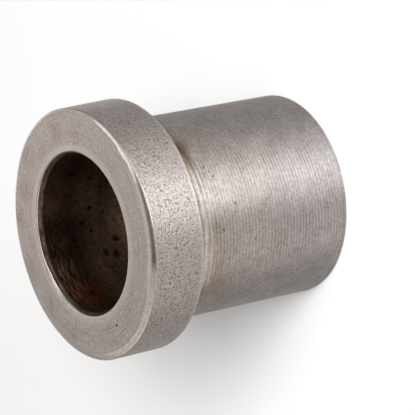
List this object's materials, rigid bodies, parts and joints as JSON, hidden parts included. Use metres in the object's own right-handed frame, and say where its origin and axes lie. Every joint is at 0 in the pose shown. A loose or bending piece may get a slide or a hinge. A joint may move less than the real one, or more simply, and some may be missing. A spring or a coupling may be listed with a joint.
{
  "type": "flanged bushing",
  "caption": "Plain cylindrical steel bushing with a thick flange at one end and a smooth through bore, turned in one piece.",
  "frame": {"origin": "centre of the plain end face, on the bore's axis, where the bushing stands", "axes": "+Z along the axis from the plain end to the flange's front face; +X and +Y are any two directions across it"},
  "size_m": [0.032, 0.032, 0.032],
  "materials": {
    "turned_steel": "bare turned steel with fine feed rings on the body, a pitted flange rim, faint rust stains and a dark, oily bore"
  },
  "bodies": {
    "root": {"bushing": "turned_steel"}
  },
  "joints": []
}
